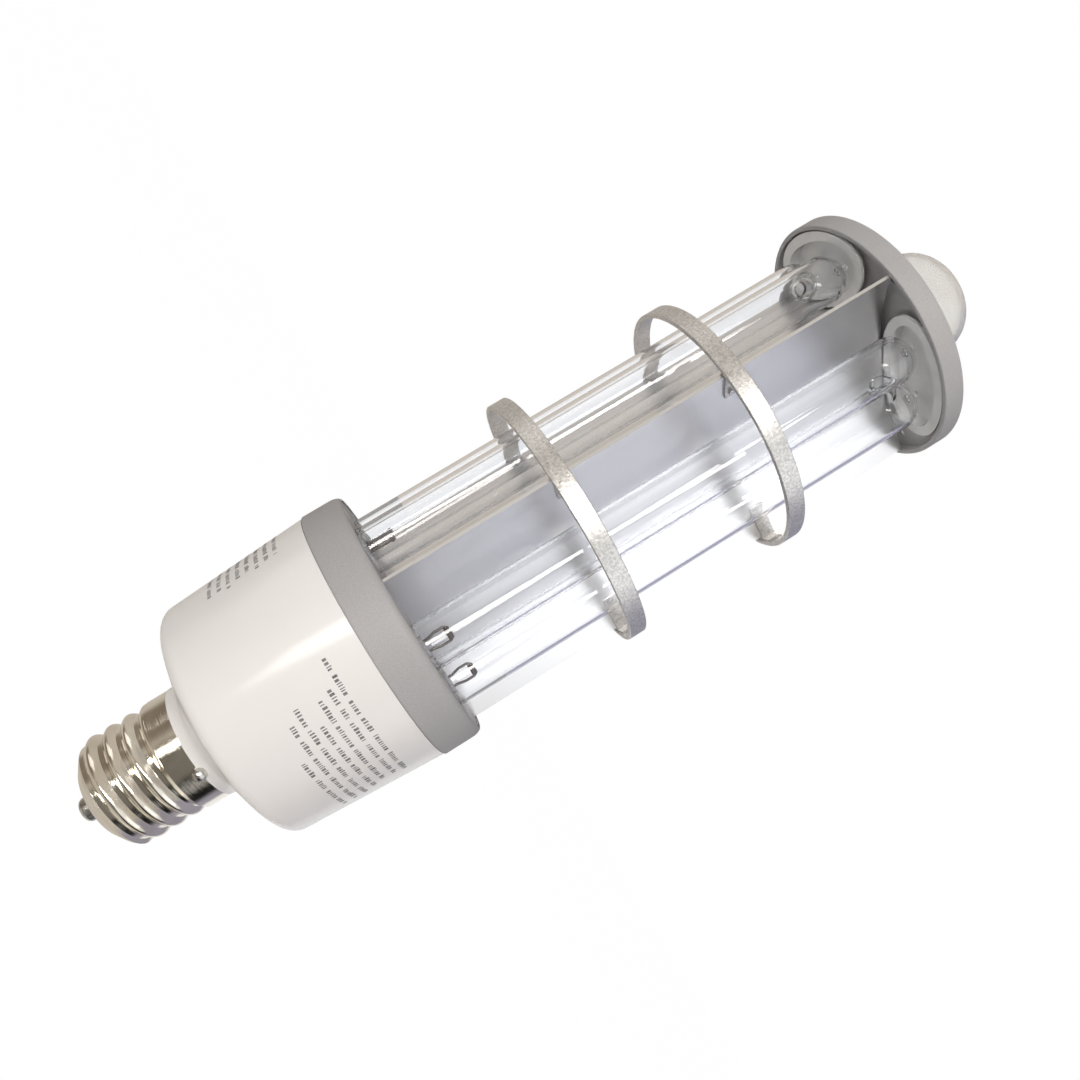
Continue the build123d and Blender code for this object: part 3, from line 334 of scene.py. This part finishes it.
def white_housing():
    """Glossy white moulding: faint flow marks and the soft orange peel of a polished mould."""
    finish = Finish("white_housing", (0.81, 0.79, 0.77), 0.27)
    finish.blend_color(finish.noise(28, 3, stretch=(1, 1, 0.5)), (0.805, 0.78, 0.765), (0.82, 0.795, 0.78))
    finish.vary("Roughness", finish.noise(500, 3), 0.3, 0.34)
    finish.shader.inputs["Coat Weight"].default_value = 0.6
    finish.shader.inputs["Coat Roughness"].default_value = 0.17
    finish.bump(finish.noise(700, 2), 0.04, 0.0001)
    return finish.material


def silver_paint():
    """Satin silver lacquer with fine metal flake."""
    finish = Finish("silver_paint", (0.39, 0.38, 0.38), 0.58, metallic=0.1)
    finish.blend_color(finish.noise(4200, 2), (0.35, 0.34, 0.345), (0.43, 0.42, 0.425))
    finish.vary("Roughness", finish.noise(900, 3), 0.54, 0.62)
    finish.bump(finish.noise(3600, 2), 0.14, 0.0001)
    return finish.material


def silver_band():
    """Flat aluminium band, tumbled so that it glitters, with fine lengthwise scratches."""
    finish = Finish("silver_band", (0.6, 0.59, 0.58), 0.34, metallic=0.85)
    finish.blend_color(finish.noise(1300, 2), (0.5, 0.49, 0.48), (0.72, 0.71, 0.7))
    finish.vary("Roughness", finish.noise(1800, 3), 0.24, 0.46)
    finish.bump(finish.noise(2000, 2), 0.75, 0.00014)
    finish.bump(finish.noise(90, 2, stretch=(1, 1, 40)), 0.06, 0.0002)
    return finish.material


def reflector_sheet():
    """Bright rolled aluminium with faint rolling lines along the lamp."""
    finish = Finish("reflector_sheet", (0.85, 0.85, 0.86), 0.3, metallic=1.0)
    finish.blend_color(finish.noise(40, 3, stretch=(1, 1, 0.15)), (0.82, 0.82, 0.83), (0.85, 0.85, 0.86))
    finish.vary("Roughness", finish.noise(900, 3, stretch=(1, 1, 0.03)), 0.28, 0.32)
    finish.bump(finish.noise(1500, 2, stretch=(1, 1, 0.01)), 0.012, 0.0001)
    return finish.material


def quartz_glass():
    """Clear drawn quartz tube with barely visible draw lines."""
    finish = Finish("quartz_glass", (0.985, 0.99, 1.0), 0.0)
    finish.shader.inputs["Transmission Weight"].default_value = 1.0
    finish.shader.inputs["IOR"].default_value = 1.46
    finish.vary("Roughness", finish.noise(300, 2, stretch=(1, 1, 0.05)), 0.0, 0.01)
    finish.bump(finish.noise(120, 1, stretch=(1, 1, 0.01)), 0.01, 0.00005)
    finish.let_lamps_through((0.985, 0.988, 0.995))
    return finish.material


def stem_glass():
    """Pressed glass of the stems, wavy from the pinch."""
    finish = Finish("stem_glass", (0.94, 0.95, 0.97), 0.05)
    finish.shader.inputs["Transmission Weight"].default_value = 1.0
    finish.shader.inputs["IOR"].default_value = 1.35
    finish.vary("Roughness", finish.noise(500, 3), 0.02, 0.08)
    finish.bump(finish.noise(420, 3), 0.2, 0.0001)
    finish.let_lamps_through((0.96, 0.96, 0.97), thinness=0.6)
    return finish.material


def electrode_wire():
    """Dark nickel wire with a matt coated filament."""
    finish = Finish("electrode_wire", (0.1, 0.09, 0.085), 0.6, metallic=0.3)
    finish.blend_color(finish.noise(1500, 3), (0.07, 0.062, 0.06), (0.15, 0.135, 0.13))
    finish.bump(finish.noise(3000, 2), 0.4, 0.0001)
    return finish.material


def grey_cup():
    """Glossy light grey moulding."""
    finish = Finish("grey_cup", (0.7, 0.695, 0.69), 0.13)
    finish.blend_color(finish.noise(90, 3), (0.67, 0.665, 0.66), (0.73, 0.725, 0.72))
    finish.vary("Roughness", finish.noise(300, 3), 0.09, 0.19)
    finish.shader.inputs["Coat Weight"].default_value = 0.5
    finish.shader.inputs["Coat Roughness"].default_value = 0.05
    finish.bump(finish.noise(500, 2), 0.05, 0.0002)
    return finish.material


def pale_dome():
    """Milky translucent cap that lets the sensor show through."""
    finish = Finish("pale_dome", (0.92, 0.91, 0.895), 0.16)
    finish.shader.inputs["Transmission Weight"].default_value = 0.8
    finish.shader.inputs["IOR"].default_value = 1.42
    finish.blend_color(finish.noise(60, 3), (0.9, 0.89, 0.875), (0.94, 0.93, 0.915))
    finish.vary("Roughness", finish.noise(300, 3), 0.13, 0.19)
    finish.bump(finish.noise(500, 2), 0.06, 0.0002)
    finish.let_lamps_through((0.6, 0.6, 0.58))
    return finish.material


def white_ceramic():
    """Unglazed white ceramic with fine pores."""
    finish = Finish("white_ceramic", (0.8, 0.79, 0.76), 0.6)
    finish.blend_color(finish.noise(600, 4), (0.74, 0.73, 0.7), (0.84, 0.83, 0.8))
    finish.bump(finish.noise(1800, 4), 0.3, 0.0002)
    return finish.material


def brass():
    """Drawn brass, slightly dulled."""
    finish = Finish("brass", (0.7, 0.5, 0.22), 0.26, metallic=1.0)
    finish.blend_color(finish.noise(400, 4), (0.58, 0.41, 0.17), (0.78, 0.58, 0.28))
    finish.vary("Roughness", finish.noise(600, 3), 0.18, 0.36)
    return finish.material


def steel():
    """Zinc-plated steel with a mottled passivation."""
    finish = Finish("steel", (0.52, 0.52, 0.52), 0.3, metallic=1.0)
    finish.blend_color(finish.noise(500, 4), (0.42, 0.42, 0.42), (0.62, 0.62, 0.63))
    finish.vary("Roughness", finish.noise(900, 3), 0.22, 0.42)
    finish.bump(finish.noise(2000, 3), 0.12, 0.0001)
    return finish.material


def wire_sleeve():
    """Pale woven glass sleeving."""
    finish = Finish("wire_sleeve", (0.68, 0.67, 0.64), 0.7)
    finish.blend_color(finish.noise(1500, 3), (0.58, 0.57, 0.54), (0.76, 0.75, 0.72))
    finish.bump(finish.noise(2600, 2), 0.5, 0.0002)
    return finish.material


def circuit_board():
    """Green lacquered glass-fibre board."""
    finish = Finish("circuit_board", (0.05, 0.17, 0.07), 0.35)
    finish.blend_color(finish.noise(300, 4), (0.035, 0.13, 0.05), (0.07, 0.21, 0.09))
    finish.bump(finish.noise(1500, 3), 0.15, 0.0001)
    return finish.material


def black_plastic():
    """Black moulded component bodies."""
    finish = Finish("black_plastic", (0.03, 0.03, 0.033), 0.38)
    finish.blend_color(finish.noise(600, 3), (0.022, 0.022, 0.024), (0.045, 0.045, 0.048))
    finish.bump(finish.noise(2500, 3), 0.2, 0.0001)
    return finish.material


def print_ink():
    """Dark pad-printed ink, thin in places."""
    finish = Finish("print_ink", (0.16, 0.15, 0.155), 0.5)
    finish.blend_color(finish.noise(1800, 3), (0.1, 0.095, 0.1), (0.3, 0.285, 0.29))
    return finish.material


FINISHES = (
    nickel_plate, contact_solder, dark_insulator, white_housing, silver_paint, silver_band, reflector_sheet,
    quartz_glass, stem_glass, electrode_wire, grey_cup, pale_dome, white_ceramic, brass, steel, wire_sleeve,
    circuit_board, black_plastic,
)


def dress_nodes():
    """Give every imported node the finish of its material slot."""
    materials = {make.__name__: make() for make in FINISHES}
    for row in frame["record"]["subparts"]:
        node = frame["nodes"][row["node"]]
        node.data.materials.clear()
        node.data.materials.append(materials[row["material_slot"]])


def mesh_piece(name, shape, material):
    """Object in the scene made from a bmesh, which is used up."""
    mesh = bpy.data.meshes.new(name)
    shape.to_mesh(mesh)
    shape.free()
    mesh.materials.append(material)
    piece = bpy.data.objects.new(name, mesh)
    bpy.context.scene.collection.objects.link(piece)
    return piece


def barrel_point(azimuth, z):
    """Point just off the housing's barrel, by the thickness of a film of ink."""
    share = (z - BARREL_LOW_Z) / (BARREL_TOP_Z - BARREL_LOW_Z)
    radius = BARREL_LOW_RADIUS + share * (BARREL_TOP_RADIUS - BARREL_LOW_RADIUS) + PRINT_LIFT
    turn = math.radians(azimuth)
    return Vector((radius * math.sin(turn), -radius * math.cos(turn), z))


def make_print(name, rows, material, seed):
    """Rows of plain small marks printed round the barrel in groups."""
    draw = random.Random(seed)
    shape = bmesh.new()
    for height, start, end in rows:
        azimuth = start
        while azimuth < end:
            group_end = azimuth + draw.uniform(*GROUP_LENGTHS)
            while azimuth < min(group_end, end):
                width = draw.choice(MARK_WIDTHS)
                half = draw.choice((MARK_SHORT, MARK_SHORT, MARK_TALL))
                corners = []
                for turn, side in ((0.0, -1), (width, -1), (width, 1), (0.0, 1)):
                    reach = half if side > 0 else MARK_SHORT
                    point = barrel_point(azimuth + turn, (height + side * reach) * MM)
                    corners.append(shape.verts.new(point))
                shape.faces.new(corners)
                azimuth += width + draw.uniform(*MARK_GAPS)
            azimuth += draw.uniform(*GROUP_GAPS)
    piece = mesh_piece(name, shape, material)
    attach(piece, "root")


def turned(name, outline, node):
    """Piece turned round the lamp's axis in the place and finish of a node.

    The outline is a loop of radius and height in mm. Where it reaches the axis, it starts and ends there."""
    shape = bmesh.new()
    rings = []
    for radius, z in outline:
        ring = []
        for step in range(TURN_STEPS if radius else 1):
            angle = 2 * math.pi * step / TURN_STEPS
            place = Vector((radius * math.cos(angle), radius * math.sin(angle), z))
            ring.append(shape.verts.new(place * MM))
        rings.append(ring)
    pairs = list(zip(rings, rings[1:]))
    if len(rings[0]) > 1:
        pairs.append((rings[-1], rings[0]))
    for low, high in pairs:
        for step in range(TURN_STEPS):
            after = (step + 1) % TURN_STEPS
            if len(low) == 1:
                shape.faces.new((low[0], high[step], high[after]))
            elif len(high) == 1:
                shape.faces.new((low[step], high[0], low[after]))
            else:
                shape.faces.new((low[step], high[step], high[after], low[after]))
    bmesh.ops.recalc_face_normals(shape, faces=shape.faces)
    piece = mesh_piece(name, shape, frame["nodes"][node].data.materials[0])
    piece.data.shade_smooth()
    piece.data.set_sharp_from_angle(angle=math.radians(SHARP_ANGLE))
    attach(piece, "root")
    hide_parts(node)


def dome_side(inset):
    """Radius and height in mm from the dome's foot to its top, inset by a wall."""
    rows = [(DOME_FOOT_RADIUS - inset, DOME_FOOT_Z)]
    for step in range(DOME_STEPS):
        angle = math.pi / 2 * step / DOME_STEPS
        out = (DOME_FOOT_RADIUS - DOME_DRAFT - inset) * math.cos(angle) ** (2 / DOME_SQUARENESS)
        up = (DOME_TOP_Z - inset - DOME_SHOULDER_Z) * math.sin(angle) ** (2 / DOME_SQUARENESS)
        rows.append((out, DOME_SHOULDER_Z + up))
    rows.append((0.0, DOME_TOP_Z - inset))
    return rows


def collar_edge():
    """Radius and height in mm along the collar's upper outer edge."""
    rows = []
    for step in range(COLLAR_EDGE_STEPS):
        angle = math.pi / 2 * step / COLLAR_EDGE_STEPS
        rows.append((
            COLLAR_EDGE_CENTRE[0] + COLLAR_EDGE_REACH[0] * math.cos(angle),
            COLLAR_EDGE_CENTRE[1] + COLLAR_EDGE_REACH[1] * math.sin(angle),
        ))
    return rows


def rounded(corners):
    """Outline of radius and height in mm, from corners that also give the radius of their arc, or 0.

    An arc is drawn from its middle, through the angle between the two places where it leaves the straight
    sides."""
    rows = []
    for index, (radius, z, bend) in enumerate(corners):
        corner = Vector((radius, z))
        before = (Vector(corners[index - 1][:2]) - corner).normalized()
        after = (Vector(corners[(index + 1) % len(corners)][:2]) - corner).normalized()
        if not bend:
            rows.append((radius, z))
            continue
        half = before.angle(after) / 2
        middle = corner + (before + after).normalized() * bend / math.sin(half)
        first = corner + before * bend / math.tan(half) - middle
        last = corner + after * bend / math.tan(half) - middle
        start = math.atan2(first.y, first.x)
        sweep = math.remainder(math.atan2(last.y, last.x) - start, 2 * math.pi)
        for step in range(ARC_STEPS + 1):
            angle = start + sweep * step / ARC_STEPS
            rows.append((middle.x + bend * math.cos(angle), middle.y + bend * math.sin(angle)))
    return rows


def make_floor():
    """White sweep under the lamp that stays white to the camera and keeps a soft shadow."""
    bpy.ops.mesh.primitive_plane_add(size=FLOOR_SIZE, location=(0, 0, -FLOOR_DROP))
    floor = bpy.context.object
    floor.name = "floor"
    material = bpy.data.materials.new("white_sweep")
    material.use_nodes = True
    nodes = material.node_tree.nodes
    links = material.node_tree.links
    shader = nodes["Principled BSDF"]
    shader.inputs["Base Color"].default_value = (FLOOR_WHITE, FLOOR_WHITE, FLOOR_WHITE, 1.0)
    shader.inputs["Roughness"].default_value = FLOOR_ROUGHNESS
    glow = nodes.new("ShaderNodeEmission")
    glow.inputs["Color"].default_value = (1.0, 1.0, 1.0, 1.0)
    glow.inputs["Strength"].default_value = FLOOR_GLOW
    clear, _ = ray_kinds(nodes, links)
    mix = nodes.new("ShaderNodeMixShader")
    links.new(math_node(nodes, links, "MULTIPLY", clear, FLOOR_GLOW_SHARE), mix.inputs["Fac"])
    links.new(shader.outputs["BSDF"], mix.inputs[1])
    links.new(glow.outputs["Emission"], mix.inputs[2])
    links.new(mix.outputs["Shader"], nodes["Material Output"].inputs["Surface"])
    floor.data.materials.append(material)
    floor.visible_glossy = False


def from_camera(reach):
    """Vector whose reaches along the camera's right, up and back are given."""
    return CAMERA_RIGHT * reach[0] + CAMERA_UP * reach[1] + CAMERA_BACK * reach[2]


def make_world():
    """White background. Metal mirrors the softer tones of the room instead."""
    world = bpy.data.worlds.new("studio")
    bpy.context.scene.world = world
    world.use_nodes = True
    nodes = world.node_tree.nodes
    links = world.node_tree.links
    direction = nodes.new("ShaderNodeTexCoord").outputs["Generated"]
    room = ROOM_TONE
    for aim, start, full, tone in ROOM_CARDS:
        share = graded(nodes, links, direction, from_camera(aim).normalized(), start, full)
        room = mixed(nodes, links, share, room, tone)
    clear, gloss = ray_kinds(nodes, links)
    sky = mixed(nodes, links, gloss, (SKY_LEVEL, SKY_LEVEL, SKY_LEVEL), room)
    links.new(mixed(nodes, links, clear, sky, (1.0, 1.0, 1.0)), nodes["Background"].inputs["Color"])
    nodes["Background"].inputs["Strength"].default_value = 1.0


def add_softbox(name, place, size, power, color):
    """Area light aimed at the lamp's middle, its first size along the camera's right as far as can be."""
    light = bpy.data.lights.new(name, "AREA")
    light.shape = "RECTANGLE"
    light.size, light.size_y = size
    light.energy = power
    light.color = color
    lamp = bpy.data.objects.new(name, light)
    bpy.context.scene.collection.objects.link(lamp)
    offset = from_camera(place)
    outward = offset.normalized()
    high = outward.cross(CAMERA_RIGHT).normalized()
    turn = Matrix((high.cross(outward), high, outward)).transposed().to_4x4()
    lamp.matrix_world = Matrix.Translation(LAMP_MIDDLE + offset) @ turn


def make_camera():
    """Camera at the photograph's place and angle."""
    camera = bpy.data.cameras.new("camera")
    camera.lens = CAMERA_LENS
    camera.sensor_width = CAMERA_SENSOR
    camera.clip_start = CAMERA_NEAREST
    holder = bpy.data.objects.new("camera", camera)
    bpy.context.scene.collection.objects.link(holder)
    turn = Matrix((CAMERA_RIGHT, CAMERA_UP, CAMERA_BACK)).transposed().to_4x4()
    holder.matrix_world = Matrix.Translation(CAMERA_PLACE) @ turn
    bpy.context.scene.camera = holder


dress_nodes()
ink = print_ink()
left_rows = [
    (LEFT_TOP_Z - LEFT_ROW_PITCH * row, LEFT_START, LEFT_END + row % LEFT_END_STEPS)
    for row in range(LEFT_ROW_COUNT)
]
make_print("print_right", RIGHT_ROWS, ink, seed=3)
make_print("print_left", left_rows, ink, seed=5)
turned("low_dome", dome_side(0.0)[::-1] + dome_side(DOME_WALL), "sensor_dome")
turned("soft_collar", COLLAR_SECTION + tuple(collar_edge()), "collar_ring")
turned("soft_housing", rounded(HOUSING_SECTION), "ballast_housing")

make_floor()
make_world()
for softbox in SOFTBOXES:
    add_softbox(*softbox)
make_camera()

bpy.context.scene.view_settings.view_transform = "Standard"
